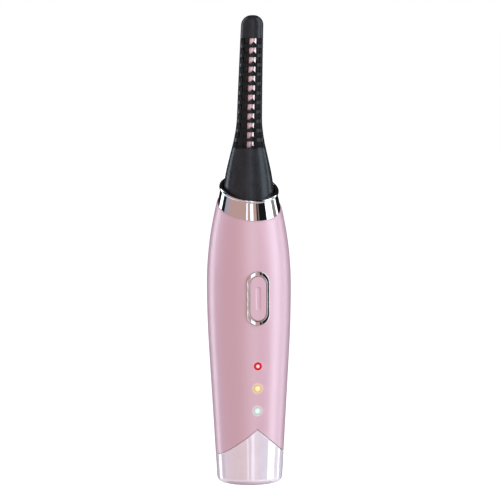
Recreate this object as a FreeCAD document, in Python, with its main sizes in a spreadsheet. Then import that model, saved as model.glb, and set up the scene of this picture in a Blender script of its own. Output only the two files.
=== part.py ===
"""A heated eyelash curler: a slim pen with a comb head, a one-button barrel and a charging port.

Millimetres. The pen stands upright: the origin is the middle of its underside, +Z runs along the barrel
to the comb's tip, the button faces -Y and +X is to the right of somebody who looks at the button.
"""
import FreeCAD, Part

import math
import os
import re

import Sketcher

Vector = FreeCAD.Vector

# The driving dimensions. "height" is always above the underside; a "front" is a distance towards -Y.
SIZES = {
    # barrel
    "overall_length": 118.0,
    "belly_radius": 10.66,
    "belly_height": 50.3,
    "lower_arc_radius": 280.0,
    "upper_arc_radius": 85.0,
    "taper_top": 34.1,
    "neck_height": 69.2,
    "profile_top": 79.0,
    "shell_top": 75.6,
    "shell_wall": 1.4,
    "mouth_wall": 1.0,
    "mouth_top_radius": 6.98,
    "rim_height": 70.85,
    "rim_tilt": 24.5,
    "rim_round": 0.3,
    "fit_gap": 0.08,
    "hole_gap": 0.03,
    "trim_front": 12.6,
    # foot
    "chevron_peak": 14.45,
    "chevron_angle": 39.5,
    "chevron_gap": 0.14,
    "chevron_round": 0.2,
    "foot_inset": 0.02,
    "foot_floor": 1.6,
    "foot_round": 1.6,
    "spigot_wall": 1.0,
    "spigot_top": 15.2,
    # charging port
    "port_width": 8.94,
    "port_depth": 3.26,
    "port_sheet": 0.3,
    "port_recess": 0.25,
    "port_gap": 0.1,
    "port_length": 7.35,
    "tongue_width": 6.7,
    "tongue_depth": 0.7,
    "tongue_length": 5.9,
    "port_board_width": 10.0,
    "port_board_depth": 0.8,
    "port_board_foot": 2.2,
    "port_board_top": 15.4,
    # collar
    "collar_inset": 0.25,
    "collar_wall": 0.42,
    "collar_bore": 6.78,
    "collar_spigot_top": 74.4,
    "collar_foot": 62.0,
    "collar_height": 74.85,
    "collar_tilt": 23.0,
    "bead_radius": 0.44,
    "bead_track": 7.06,
    # comb head
    "neck_foot": 66.9,
    "neck_radius": 6.0,
    "skirt_foot": 72.0,
    "skirt_forward": 0.22,
    "flare_start": 73.3,
    "flare_end": 92.7,
    "flare_growth": 2.85,
    "comb_radius": 3.17,
    "comb_narrowing": 0.0165,
    "sleeve_wall": 0.75,
    "cavity_top": 113.6,
    "tip_round": 2.5,
    "mark_height": 75.5,
    "mark_length": 1.5,
    "mark_width": 0.3,
    "mark_proud": 0.05,
    "head_lean": 5.35,
    "lean_start": 78.0,
    "lean_power": 1.35,
    "slot_count": 12,
    "comb_joint": 83.6,
    "slot_foot": 85.0,
    "slot_pitch": 2.338,
    "slot_height": 1.5,
    "slot_bridge": 0.6,
    "tooth_width": 1.2,
    "tooth_height": 0.6,
    # heater
    "strip_width": 1.65,
    "strip_front": 2.0,
    "strip_shoulder": 1.68,
    "strip_back": 0.6,
    "strip_foot": 82.0,
    "strip_top": 113.2,
    "carrier_gap": 0.12,
    "carrier_flat": 0.8,
    "carrier_foot": 72.1,
    "flat_foot": 80.0,
    "channel_foot": 78.0,
    "channel_width": 1.78,
    "channel_depth": 0.85,
    "rail_middle": 1.41,
    "rail_width": 0.34,
    "rail_height": 0.3,
    "plate_width": 1.5,
    "plate_depth": 0.5,
    "plate_foot": 86.5,
    "plate_top": 108.0,
    "sensor_radius": 0.22,
    "sensor_height": 84.6,
    "head_seat_foot": 64.8,
    "head_seat_top": 66.7,
    "head_seat_hole": 1.9,
    # button
    "button_height": 47.53,
    "button_width": 4.3,
    "button_length": 11.2,
    "button_gap": 0.1,
    "button_proud": 0.2,
    "button_travel": 0.4,
    "bezel_width": 5.9,
    "bezel_length": 13.6,
    "bezel_proud": 0.42,
    "bezel_round": 0.18,
    "bezel_back": 8.7,
    "flange_front": 8.6,
    "flange_back": 8.15,
    "flange_width": 5.3,
    "flange_length": 12.4,
    "groove_radius": 1.1,
    "groove_depth": 0.25,
    "groove_length": 5.9,
    "face_round": 0.25,
    "stem_radius": 1.0,
    # switch
    "switch_width": 4.5,
    "switch_front": 7.0,
    "plunger_front": 7.5,
    "plunger_radius": 0.85,
    "plunger_back": 6.2,
    "plunger_gap": 0.12,
    "plunger_round": 0.15,
    # lights
    "light_count": 3,
    "light_top": 30.51,
    "light_pitch": 5.66,
    "light_radius": 1.0,
    "light_proud": 0.05,
    "light_collar_radius": 1.4,
    "light_back": 6.25,
    "light_chip_width": 1.6,
    "light_chip_height": 0.8,
    # main board
    "board_front": 5.4,
    "board_depth": 1.0,
    "board_width": 10.0,
    "board_foot": 17.0,
    "board_top": 62.0,
    "screw_side": 3.7,
    "screw_low": 35.0,
    "screw_high": 55.0,
    "screw_radius": 0.6,
    "screw_head_radius": 1.1,
    "screw_head_depth": 0.6,
    "screw_length": 2.9,
    "screw_gap": 0.1,
    "pilot_gap": 0.02,
    "pilot_depth": 1.95,
    # chassis and battery
    "cell_radius": 5.0,
    "cell_length": 44.0,
    "cell_foot": 17.9,
    "cell_set_back": 1.7,
    "cell_gap": 0.15,
    "cell_round": 0.4,
    "contact_radius": 2.6,
    "tab_depth": 0.15,
    "tab_width": 3.0,
    "tab_reach": 5.5,
    "chassis_half_width": 5.95,
    "chassis_front": 4.32,
    "chassis_foot": 16.8,
    "chassis_floor": 0.7,
    "chassis_chamfer": 1.1,
    "chassis_top": 58.5,
    # leads
    "lead_radius": 0.3,
    "fine_lead_radius": 0.11,
}

doc = FreeCAD.newDocument("eyelash_curler")
sheet = doc.addObject("Spreadsheet::Sheet", "Dims")
for row, (size_name, size) in enumerate(SIZES.items(), start=1):
    sheet.set(f"A{row}", size_name)
    sheet.set(f"B{row}", str(size))
    sheet.setAlias(f"B{row}", size_name)
doc.recompute()

# Sizes that follow from the driving ones, as expressions in the sheet's names.
LOWER_SAG = "(lower_arc_radius - sqrt(lower_arc_radius ^ 2 - (belly_height - taper_top) ^ 2))"
UPPER_SAG = "(upper_arc_radius - sqrt(upper_arc_radius ^ 2 - (neck_height - belly_height) ^ 2))"
TAPER_RADIUS = f"(belly_radius - {LOWER_SAG})"
TAPER_SLOPE = "(tan(asin((belly_height - taper_top) / lower_arc_radius)))"
FOOT_RADIUS = f"({TAPER_RADIUS} - taper_top * {TAPER_SLOPE})"
NECK_RADIUS = f"(belly_radius - {UPPER_SAG})"
NECK_SLOPE = "(tan(asin((neck_height - belly_height) / upper_arc_radius)))"
BOARD_BACK = "(board_front - board_depth)"

# A distance from the axis that is outside every piece, and how finely the leaning lofts are cut.
FAR = 14.0
SLEEVE_STEPS = 18
BAR_STEPS = 6
TIP_STEPS = 8

# On which side of the board, and at which height, each screw stands.
SCREW_PLACES = [(1, "screw_low"), (-1, "screw_low"), (1, "screw_high"), (-1, "screw_high")]
# Each chip's width, depth, height, sideways place and foot.
CHIPS = {
    "controller_chip": (5.0, 1.1, 5.0, 0.0, 35.5),
    "charger_chip": (2.9, 1.0, 2.8, -3.0, 21.5),
    "heater_transistor": (3.0, 1.0, 2.6, 1.6, 56.3),
}
# The small blocks' size, and each one's sideways place and foot.
CAPACITOR_SIZE = (0.8, 0.6, 1.6)
LEFT_CAPACITORS = [(-3.6, 43.5), (-3.6, 46.5), (-3.6, 49.5), (-3.2, 28.5)]
RIGHT_CAPACITORS = [(3.6, 42.0), (3.6, 47.0), (3.2, 26.5)]


# ---------------------------------------------------------------- helpers

def bound(expression):
    """The expression with every name of the sheet written the way FreeCAD reads it."""
    def with_sheet(word):
        return "Dims." + word[0] if word[0] in SIZES else word[0]
    return re.sub(r"[a-z_]\w*", with_sheet, str(expression))


def value(expression):
    """The number that an expression gives now."""
    return float(sheet.evalExpression(bound(expression)))


def new_body(name):
    body = doc.addObject("PartDesign::Body", name)
    body.Label = name
    return body


def new_sketch(body, name, role, offset="0"):
    """An empty sketch on one of the body's origin planes, moved along that plane's normal."""
    plane = next(item for item in body.Origin.OriginFeatures if item.Role == role)
    sketch = body.newObject("Sketcher::SketchObject", name)
    sketch.AttachmentSupport = [(plane, "")]
    sketch.MapMode = "FlatFace"
    sketch.setExpression("AttachmentOffset.Base.z", bound(offset))
    return sketch


def hold(sketch, kind, geometry, end, expression):
    """Fix one coordinate of a sketch point to an expression."""
    index = sketch.addConstraint(Sketcher.Constraint(kind, -1, 1, geometry, end, value(expression)))
    sketch.setExpression(f"Constraints[{index}]", bound(expression))


def hold_radius(sketch, geometry, expression):
    index = sketch.addConstraint(Sketcher.Constraint("Radius", geometry, value(expression)))
    sketch.setExpression(f"Constraints[{index}]", bound(expression))


def arc_through(start, end, radius, side):
    """The shorter arc of a radius from start to end, bulging to the left (+1) or right (-1) of the way."""
    chord = end - start
    to_left = Vector(-chord.y, chord.x, 0).normalize()
    half = chord.Length / 2
    rise = radius - math.sqrt(max(radius ** 2 - half ** 2, 0.0))
    top = start + chord * 0.5 + to_left * side * rise
    return Part.Arc(start, top, end)


def starting_ends(corner):
    """Which ends of a corner's line or arc come first and last: a sketch's arcs run anticlockwise."""
    clockwise = len(corner) == 4 and corner[3] > 0
    return (2, 1) if clockwise else (1, 2)


def outline(sketch, corners):
    """A closed outline. A corner is (x, y), or (x, y, radius, side) where an arc leads to the next one."""
    points = [Vector(value(corner[0]), value(corner[1]), 0) for corner in corners]
    first = sketch.GeometryCount
    for index, corner in enumerate(corners):
        start = points[index]
        end = points[(index + 1) % len(points)]
        if len(corner) == 2:
            sketch.addGeometry(Part.LineSegment(start, end), False)
        else:
            sketch.addGeometry(arc_through(start, end, value(corner[2]), corner[3]), False)
    ends = [starting_ends(corner) for corner in corners]
    for index, corner in enumerate(corners):
        here = first + index
        following = first + (index + 1) % len(corners)
        following_ends = ends[(index + 1) % len(corners)]
        sketch.addConstraint(
            Sketcher.Constraint("Coincident", here, ends[index][1], following, following_ends[0]))
        hold(sketch, "DistanceX", here, ends[index][0], corner[0])
        hold(sketch, "DistanceY", here, ends[index][0], corner[1])
        if len(corner) == 4:
            hold_radius(sketch, here, corner[2])


def circle(sketch, x, y, radius):
    centre = Vector(value(x), value(y), 0)
    index = sketch.addGeometry(Part.Circle(centre, Vector(0, 0, 1), value(radius)), False)
    hold(sketch, "DistanceX", index, 3, x)
    hold(sketch, "DistanceY", index, 3, y)
    hold_radius(sketch, index, radius)


def pill(sketch, y, width, length, upright=True):
    """A slot outline about (0, y): two half circles joined by two straight sides."""
    radius = value(width) / 2
    reach = f"(({length}) - ({width})) / 2"
    centres = [f"({y}) - {reach}", f"({y}) + {reach}"] if upright else [f"-{reach}", reach]
    offsets = [value(centre) for centre in centres]
    ends = [Vector(0, at, 0) if upright else Vector(at, value(y), 0) for at in offsets]
    turn = math.pi if upright else math.pi / 2
    normal = Vector(0, 0, 1)
    low = sketch.addGeometry(
        Part.ArcOfCircle(Part.Circle(ends[0], normal, radius), turn, turn + math.pi), False)
    high = sketch.addGeometry(
        Part.ArcOfCircle(Part.Circle(ends[1], normal, radius), turn + math.pi, turn + 2 * math.pi), False)
    sides = []
    for start, end in (((low, 2), (high, 1)), ((high, 2), (low, 1))):
        line = Part.LineSegment(sketch.getPoint(*start), sketch.getPoint(*end))
        index = sketch.addGeometry(line, False)
        sides.append((index, start, end))
    for index, start, end in sides:
        sketch.addConstraint(Sketcher.Constraint("Tangent", index, 1, *start))
        sketch.addConstraint(Sketcher.Constraint("Tangent", index, 2, *end))
    for arc, centre in ((low, centres[0]), (high, centres[1])):
        hold(sketch, "DistanceX", arc, 3, "0" if upright else centre)
        hold(sketch, "DistanceY", arc, 3, centre if upright else y)
    hold_radius(sketch, low, f"({width}) / 2")


def revolve(body, name, corners, cut=False, forward="0"):
    """Turn an outline of (radius, height) corners about an upright axis on the front-to-back line."""
    sketch = new_sketch(body, name + "_outline", "XZ_Plane", forward)
    outline(sketch, corners)
    kind = "Groove" if cut else "Revolution"
    feature = body.newObject("PartDesign::" + kind, name)
    feature.Profile = sketch
    feature.ReferenceAxis = (sketch, ["V_Axis"])
    feature.Angle = 360
    return feature


def extrude(body, name, sketch, length, cut=False, both_ways=False, backwards=False):
    """Push a sketch along its normal, as added or removed material."""
    kind = "Pocket" if cut else "Pad"
    feature = body.newObject("PartDesign::" + kind, name)
    feature.Profile = sketch
    feature.setExpression("Length", bound(length))
    feature.SideType = "Symmetric" if both_ways else "One side"
    feature.Reversed = backwards
    doc.recompute()
    return feature


def loft(body, name, sketches, cut=False):
    kind = "SubtractiveLoft" if cut else "AdditiveLoft"
    feature = body.newObject("PartDesign::" + kind, name)
    feature.Profile = sketches[0]
    feature.Sections = [(sketch, [""]) for sketch in sketches[1:]]
    return feature


def fillet(body, name, radius, wanted):
    """Round the edges of the body's last feature whose middle point the test picks."""
    doc.recompute()
    base = body.Tip
    edges = []
    for number, edge in enumerate(base.Shape.Edges, start=1):
        middle = edge.valueAt((edge.FirstParameter + edge.LastParameter) / 2)
        if wanted(edge, middle):
            edges.append(f"Edge{number}")
    feature = body.newObject("PartDesign::Fillet", name)
    feature.Base = (base, edges)
    feature.setExpression("Radius", bound(radius))
    doc.recompute()
    return feature


def box(name, across, deep, tall, x_middle, y_low, z_low):
    """A block whose width is centred on x_middle, reaching back from y_low and up from z_low."""
    block = doc.addObject("Part::Box", name)
    block.Label = name
    block.setExpression("Length", bound(across))
    block.setExpression("Width", bound(deep))
    block.setExpression("Height", bound(tall))
    block.setExpression("Placement.Base.x", bound(f"({x_middle}) - ({across}) / 2"))
    block.setExpression("Placement.Base.y", bound(y_low))
    block.setExpression("Placement.Base.z", bound(z_low))
    return block


def barrel_radius(height):
    """The barrel's outer radius at a height, for heights on the straight taper, either arc or the neck."""
    if value(height) <= value("taper_top"):
        return f"({FOOT_RADIUS} + ({height}) * {TAPER_SLOPE})"
    if value(height) <= value("belly_height"):
        arc = "lower_arc_radius"
    elif value(height) <= value("neck_height"):
        arc = "upper_arc_radius"
    else:
        return f"({NECK_RADIUS} - (({height}) - neck_height) * {NECK_SLOPE})"
    return f"(belly_radius - {arc} + sqrt({arc} ^ 2 - (({height}) - belly_height) ^ 2))"


def barrel_line(low, high, outset="0"):
    """The barrel's side from a low to a high height, as outline corners, moved out by an amount."""
    stops = [low]
    for knot in ("taper_top", "belly_height", "neck_height"):
        if value(low) < value(knot) < value(high):
            stops.append(knot)
    stops.append(high)
    corners = []
    for here, after in zip(stops, stops[1:] + [None]):
        point = (f"{barrel_radius(here)} + ({outset})", here)
        middle = value(here) + 0.01
        if after is None or middle < value("taper_top") or middle > value("neck_height"):
            corners.append(point)
        elif middle < value("belly_height"):
            corners.append(point + (f"lower_arc_radius + ({outset})", -1))
        else:
            corners.append(point + (f"upper_arc_radius + ({outset})", -1))
    return corners


def trim_to_barrel(body, name, low, high, outset):
    """Cut away what stands further out than the barrel's side plus an amount."""
    side = barrel_line(low, high, outset)
    return revolve(body, name, side + [(FAR, high), (FAR, low)], cut=True)


def slanted(body, name, height, tilt, keep_below, shift="0"):
    """Cut the body along a plane that rises to the back, keeping what is below it or above it."""
    sketch = new_sketch(body, name + "_line", "YZ_Plane")
    level = f"({height}) + ({shift})"
    front = f"{level} - {FAR} * tan({tilt})"
    back = f"{level} + {FAR} * tan({tilt})"
    beyond = "200" if keep_below else "-20"
    outline(sketch, [(-FAR, front), (FAR, back), (FAR, beyond), (-FAR, beyond)])
    return extrude(body, name, sketch, 4 * FAR, cut=True, both_ways=True)


def lean(height):
    """How far in front of the barrel's axis the head's centre stands at a height."""
    share = f"max(0; ({height}) - lean_start) / (overall_length - lean_start)"
    return f"(skirt_forward + head_lean * ({share}) ^ lean_power)"


def sleeve_radius(height):
    """The comb sleeve's outer radius: a slim taper that swells into the skirt in half a cosine wave."""
    taper = f"comb_radius + comb_narrowing * (flare_end - ({height}))"
    level = f"min(1; max(0; (({height}) - flare_start) / (flare_end - flare_start)))"
    return f"({taper} + flare_growth / 2 * (1 + cos(180 * {level})))"


def round_loft(body, name, foot, top, inset, cut=False):
    """A loft of evenly spaced circles that follows the sleeve, smaller by an inset."""
    sections = []
    for number in range(SLEEVE_STEPS + 1):
        level = f"{foot} + ({top} - ({foot})) * {number} / {SLEEVE_STEPS}"
        section = new_sketch(body, f"{name}_section{number}", "XY_Plane", level)
        circle(section, "0", f"-{lean(level)}", f"{sleeve_radius(level)} - ({inset})")
        sections.append(section)
    return loft(body, name, sections, cut)


def bar_loft(body, name, foot, top, corners_at, cut=False):
    """A loft of one outline that follows the head's lean; corners_at gives its corners at a height."""
    sections = []
    for number in range(BAR_STEPS + 1):
        level = f"({foot}) + (({top}) - ({foot})) * {number} / {BAR_STEPS}"
        section = new_sketch(body, f"{name}_section{number}", "XY_Plane", level)
        outline(section, corners_at(level))
        sections.append(section)
    return loft(body, name, sections, cut)


def rectangle_at(left, right, front, back):
    """Corners of a rectangle that moves forward with the lean; front and back count towards -Y."""
    def corners(level):
        near = f"-{lean(level)} - ({front})"
        far = f"-{lean(level)} - ({back})"
        return [(left, near), (right, near), (right, far), (left, far)]
    return corners


def lead(places, radius):
    """A round lead along straight runs joined by tangent arcs, each as large as its runs allow."""
    points = [Vector(*[value(number) for number in place]) for place in places]
    edges = []
    start = points[0]
    for before, corner, after in zip(points, points[1:], points[2:]):
        shorter = min((corner - before).Length, (after - corner).Length)
        inward = (before - corner).normalize()
        outward = (after - corner).normalize()
        setback = 0.45 * shorter
        first = corner + inward * setback
        last = corner + outward * setback
        half_turn = (math.pi - inward.getAngle(outward)) / 2
        bend = setback / math.tan(half_turn)
        to_centre = (inward + outward).normalize()
        middle = corner + to_centre * (bend / math.cos(half_turn) - bend)
        edges.append(Part.LineSegment(start, first).toShape())
        edges.append(Part.Arc(first, middle, last).toShape())
        start = last
    edges.append(Part.LineSegment(start, points[-1]).toShape())
    path = Part.Wire(edges)
    across = Part.Circle(points[0], points[1] - points[0], value(radius))
    return path.makePipeShell([Part.Wire(across.toShape())], True, True)


def lead_object(name, routes, radius):
    """One node of leads that run side by side."""
    node = doc.addObject("Part::Feature", name)
    node.Label = name
    tubes = [lead(route, radius) for route in routes]
    node.Shape = tubes[0] if len(tubes) == 1 else Part.makeCompound(tubes)
    return node


# ---------------------------------------------------------------- casing

def body_shell():
    """The painted barrel: a thin turned shell, slanted at its mouth and notched at its foot."""
    body = new_body("body_shell")
    outer = barrel_line("0", "shell_top")
    revolve(body, "turned_shell", outer + inner_side())
    slanted(body, "mouth", "rim_height", "rim_tilt", keep_below=True)
    chevron(body, "foot_notch", keep_above=True)
    button_hole = new_sketch(body, "bezel_hole_outline", "XZ_Plane")
    pill(button_hole, "button_height", "bezel_width + hole_gap", "bezel_length + hole_gap")
    extrude(body, "bezel_hole", button_hole, FAR, cut=True, backwards=True)
    for number in range(int(value("light_count"))):
        hole = new_sketch(body, f"light_hole_outline{number}", "XZ_Plane")
        circle(hole, "0", light_height(number), "light_radius + hole_gap")
        extrude(body, f"light_hole{number}", hole, FAR, cut=True, backwards=True)
    fillet(body, "rim_edge", "rim_round", on_outer_mouth)
    return body


def inner_side():
    """The shell's inner side, from its top down: a thinner mouth for the collar, then the plain wall."""
    mouth = "upper_arc_radius - mouth_wall"
    upper = "upper_arc_radius - shell_wall"
    lower = "lower_arc_radius - shell_wall"
    return [
        ("mouth_top_radius", "shell_top"),
        (f"{NECK_RADIUS} - mouth_wall", "neck_height", mouth, 1),
        (f"{barrel_radius('collar_foot')} - mouth_wall", "collar_foot"),
        (f"{barrel_radius('collar_foot')} - shell_wall", "collar_foot", upper, 1),
        ("belly_radius - shell_wall", "belly_height", lower, 1),
        (f"{TAPER_RADIUS} - shell_wall", "taper_top"),
        (f"{FOOT_RADIUS} - shell_wall", "0"),
    ]


def on_outer_mouth(edge, middle):
    """The outer edge of the slanted mouth."""
    plane = value("rim_height") + middle.y * math.tan(math.radians(value("rim_tilt")))
    radius = math.hypot(middle.x, middle.y)
    inner = value(f"{barrel_radius(str(middle.z))} - 0.05")
    return abs(middle.z - plane) < 0.02 and radius > inner


def chevron_height(side):
    """The parting line's peak at the front and back, moved up (+1) or down (-1) by half the gap."""
    return f"chevron_peak + {side} * chevron_gap / 2 / cos(chevron_angle)"


def chevron(body, name, keep_above):
    """Cut the body front to back along the roof-shaped parting line."""
    peak = chevron_height(1 if keep_above else -1)
    eaves = f"{peak} - {FAR} * tan(chevron_angle)"
    beyond = "-20" if keep_above else "100"
    sketch = new_sketch(body, name + "_line", "XZ_Plane")
    outline(sketch, [("0", peak), (FAR, eaves), (FAR, beyond), (-FAR, beyond), (-FAR, eaves)])
    return extrude(body, name, sketch, 4 * FAR, cut=True, both_ways=True)


def base_cap():
    """The glossy foot: a cup under the chevron line with a plain spigot that plugs into the barrel."""
    body = new_body("base_cap")
    top = "chevron_peak + 1"
    wall = "shell_wall + fit_gap + spigot_wall"
    outer = barrel_line("0", top, "-foot_inset")
    inner = [
        (f"{barrel_radius(top)} - ({wall})", top),
        (f"{barrel_radius('foot_floor')} - ({wall})", "foot_floor"),
    ]
    revolve(body, "cup", outer + inner + [("0", "foot_floor"), ("0", "0")])
    chevron(body, "cup_top", keep_above=False)
    port_hole = new_sketch(body, "port_hole_outline", "XY_Plane")
    pill(port_hole, "0", "port_depth + 2 * port_gap", "port_width + 2 * port_gap", upright=False)
    extrude(body, "port_hole", port_hole, "foot_floor * 2", cut=True, both_ways=True)
    doc.recompute()
    fillet(body, "foot_edge", "foot_round", on_foot_edge)
    fillet(body, "chevron_edge", "chevron_round", on_cup_top)
    spigot_foot = "foot_floor + 1"
    outside = "-shell_wall - fit_gap"
    spigot = [
        (f"{barrel_radius(spigot_foot)} + ({outside})", spigot_foot),
        (f"{barrel_radius('spigot_top')} + ({outside})", "spigot_top"),
        (f"{barrel_radius('spigot_top')} + ({outside}) - spigot_wall", "spigot_top"),
        (f"{barrel_radius(spigot_foot)} + ({outside}) - spigot_wall", spigot_foot),
    ]
    revolve(body, "spigot", spigot)
    return body


def on_foot_edge(edge, middle):
    """The outer edge of the underside, and not the port's hole."""
    port_reach = value("port_width") / 2 + 2 * value("port_gap")
    return abs(middle.z) < 0.001 and math.hypot(middle.x, middle.y) > port_reach


def on_cup_top(edge, middle):
    """The outer edge of the cup along the parting line."""
    line = value(chevron_height(-1)) - abs(middle.x) * math.tan(math.radians(value("chevron_angle")))
    radius = math.hypot(middle.x, middle.y)
    outside = value(f"{barrel_radius(str(middle.z))} - foot_inset")
    return abs(middle.z - line) < 0.02 and abs(radius - outside) < 0.02


def collar():
    """The plated collar: a slanted ring flush with the barrel, a spigot inside it and a rolled bead."""
    body = new_body("collar_ring")
    low = "collar_foot + 1"
    inside = "(collar_inset + collar_wall)"
    knee = f"neck_height + ({NECK_RADIUS} - {inside} - collar_bore) / {NECK_SLOPE}"
    ring = barrel_line(low, "profile_top", "-collar_inset")
    ring.append((f"{barrel_radius('profile_top')} - {inside}", "profile_top"))
    ring += [("collar_bore", knee), ("collar_bore", low)]
    revolve(body, "visible_ring", ring)
    slanted(body, "ring_seat", "rim_height", "rim_tilt", keep_below=False)
    spigot = barrel_line("collar_foot", "neck_height", "-mouth_wall - fit_gap")
    narrowing = f"({NECK_RADIUS} - mouth_wall - mouth_top_radius) / (shell_top - neck_height)"
    neck = f"{NECK_RADIUS} - mouth_wall - fit_gap"
    spigot_top = f"{neck} - (collar_spigot_top - neck_height) * {narrowing}"
    spigot += [(spigot_top, "collar_spigot_top"), ("collar_bore", "collar_spigot_top")]
    revolve(body, "spigot", spigot + [("collar_bore", "collar_foot")])
    slanted(body, "lip", "collar_height", "collar_tilt", keep_below=True)
    bead = rim_bead()
    whole = doc.addObject("Part::Fuse", "collar")
    whole.Label = "collar"
    whole.Base = body
    whole.Tool = bead
    return whole


def rim_bead():
    """The rolled bead: a round rod along the ellipse where the slanted plane meets the collar's cone."""
    steepness = f"({NECK_SLOPE} * tan(collar_tilt))"
    half_wide = f"bead_track / sqrt(1 - {steepness} ^ 2)"
    half_long = f"bead_track / (1 - {steepness} ^ 2)"
    forward = f"{half_long} * {steepness}"
    path = doc.addObject("Part::Ellipse", "bead_path")
    path.setExpression("MajorRadius", bound(f"{half_long} / cos(collar_tilt)"))
    path.setExpression("MinorRadius", bound(half_wide))
    tilt = FreeCAD.Rotation(Vector(1, 0, 0), value("collar_tilt"))
    path.Placement.Rotation = tilt * FreeCAD.Rotation(Vector(0, 0, 1), 90)
    path.setExpression("Placement.Base.y", bound(f"-{forward}"))
    path.setExpression("Placement.Base.z", bound(f"collar_height - {forward} * tan(collar_tilt)"))
    section = doc.addObject("Part::Circle", "bead_section")
    section.setExpression("Radius", bound("bead_radius"))
    section.Placement.Rotation = FreeCAD.Rotation(Vector(0, 1, 0), 90)
    section.setExpression("Placement.Base.y", bound(f"{half_long} - {forward}"))
    back = f"({half_long} - {forward})"
    section.setExpression("Placement.Base.z", bound(f"collar_height + {back} * tan(collar_tilt)"))
    bead = doc.addObject("Part::Sweep", "bead")
    bead.Sections = [section]
    bead.Spine = (path, ["Edge1"])
    bead.Solid = True
    bead.Frenet = True
    return bead


# ---------------------------------------------------------------- comb head

def comb_skirt():
    """The flared foot of the comb, with the neck that goes down into the collar."""
    body = new_body("comb_skirt")
    comb_finger(body)
    neck = new_sketch(body, "neck_outline", "XY_Plane", "neck_foot")
    circle(neck, "0", "-skirt_forward", "neck_radius")
    extrude(body, "neck", neck, "skirt_foot - neck_foot + 0.5")
    comb_cavity(body)
    bore = new_sketch(body, "neck_bore_outline", "XY_Plane", "neck_foot")
    circle(bore, "0", "-skirt_forward", "neck_radius - sleeve_wall")
    extrude(body, "neck_bore", bore, "skirt_foot - neck_foot + 1", cut=True, backwards=True)
    cut_between(body, "joint", "overall_length", "comb_joint")
    skirt_mark(body)
    return body


def comb_sleeve():
    """The black comb on the skirt: a hollow leaning finger with slots cut in from the front."""
    body = new_body("comb_sleeve")
    comb_finger(body)
    comb_cavity(body)
    cut_between(body, "joint", "comb_joint", "skirt_foot")
    tip_dome(body)
    for number in range(int(value("slot_count"))):
        comb_slot(body, number)
    return body


def comb_finger(body):
    """The finger from the skirt's foot to the shoulder of the tip; skirt and comb share its surface."""
    return round_loft(body, "finger", "skirt_foot", "overall_length - tip_round", "0")


def comb_cavity(body):
    return round_loft(body, "cavity", "skirt_foot - 0.5", "cavity_top", "sleeve_wall", cut=True)


def cut_between(body, name, high, low):
    """Take away everything between two heights."""
    sketch = new_sketch(body, name + "_outline", "XY_Plane", high)
    circle(sketch, "0", "0", f"{FAR}")
    return extrude(body, name, sketch, f"{high} - {low}", cut=True)


def tip_dome(body):
    """The rounded tip: circles that close in along a quarter turn."""
    sections = []
    for number in range(TIP_STEPS + 1):
        turn = 90 * number / TIP_STEPS
        level = f"overall_length - tip_round * (1 - sin({turn}))"
        section = new_sketch(body, f"tip_section{number}", "XY_Plane", level)
        shoulder = sleeve_radius("overall_length - tip_round")
        circle(section, "0", f"-{lean(level)}", f"{shoulder} - tip_round * (1 - cos({turn}))")
        sections.append(section)
    return loft(body, "tip", sections)


def comb_slot(body, number):
    """One slot, with the small pointed tooth that stands up from its lower edge in the middle."""
    foot = f"slot_foot + {number} * slot_pitch"
    top = f"{foot} + slot_height"
    sketch = new_sketch(body, f"slot_outline{number}", "XZ_Plane", FAR)
    corners = [
        ("-tooth_width / 2", foot),
        ("0", f"{foot} + tooth_height"),
        ("tooth_width / 2", foot),
        (FAR, foot),
        (FAR, top),
        (-FAR, top),
        (-FAR, foot),
    ]
    outline(sketch, corners)
    reach = f"{FAR} - {lean(foot)} - slot_bridge"
    return extrude(body, f"slot{number}", sketch, reach, cut=True)


def skirt_mark(body):
    """A faint raised dash low on the skirt's front; its ends run out into the round surface."""
    surface = f"{lean('mark_height')} + {sleeve_radius('mark_height')}"
    sketch = new_sketch(body, "mark_outline", "XZ_Plane", f"{surface} - sleeve_wall / 2")
    pill(sketch, "mark_height", "mark_width", "mark_length", upright=False)
    extrude(body, "mark", sketch, "sleeve_wall / 2 + mark_proud")


def heater_strip():
    """The rose-gold heating strip: a slim crowned bar that leans with the comb."""
    body = new_body("heater_strip")
    half = "strip_width / 2"
    crown = f"((({half}) ^ 2 + (strip_front - strip_shoulder) ^ 2) / (2 * (strip_front - strip_shoulder)))"

    def corners(level):
        back = f"-{lean(level)} - strip_back"
        front = f"-{lean(level)} - strip_shoulder"
        return [(f"-{half}", front, crown, -1), (half, front), (half, back), (f"-{half}", back)]

    bar_loft(body, "strip", "strip_foot", "strip_top", corners)
    return body


def heater_carrier():
    """The dark carrier inside the comb: a D-shaped rod with two rails and a channel for the heater."""
    body = new_body("heater_carrier")
    inset = "sleeve_wall + carrier_gap"
    top = "cavity_top - carrier_gap"
    round_loft(body, "rod", "carrier_foot", top, inset)
    flat = rectangle_at(-FAR, FAR, FAR, "carrier_flat")
    bar_loft(body, "front_flat", "flat_foot", "cavity_top", flat, cut=True)
    for name, side in (("left_rail", "-1"), ("right_rail", "1")):
        left = f"{side} * rail_middle - rail_width / 2"
        right = f"{side} * rail_middle + rail_width / 2"
        rail = rectangle_at(left, right, "carrier_flat + rail_height", "carrier_flat - 0.2")
        bar_loft(body, name, "strip_foot", top, rail)
    half = "channel_width / 2"
    channel = rectangle_at(f"-{half}", half, FAR, "carrier_flat - channel_depth")
    bar_loft(body, "channel", "channel_foot", "cavity_top", channel, cut=True)
    bore = new_sketch(body, "lead_bore_outline", "XY_Plane", "carrier_foot")
    circle(bore, "0", "-skirt_forward", "head_seat_hole")
    extrude(body, "lead_bore", bore, "flat_foot + 1 - carrier_foot", cut=True, backwards=True)
    return body


def ceramic_heater():
    """The flat ceramic heater that lies in the carrier's channel against the strip's back."""
    body = new_body("ceramic_heater")
    half = "plate_width / 2"
    front = "strip_back - 0.02"
    plate = rectangle_at(f"-{half}", half, front, f"{front} - plate_depth")
    bar_loft(body, "plate", "plate_foot", "plate_top", plate)
    return body


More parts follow.
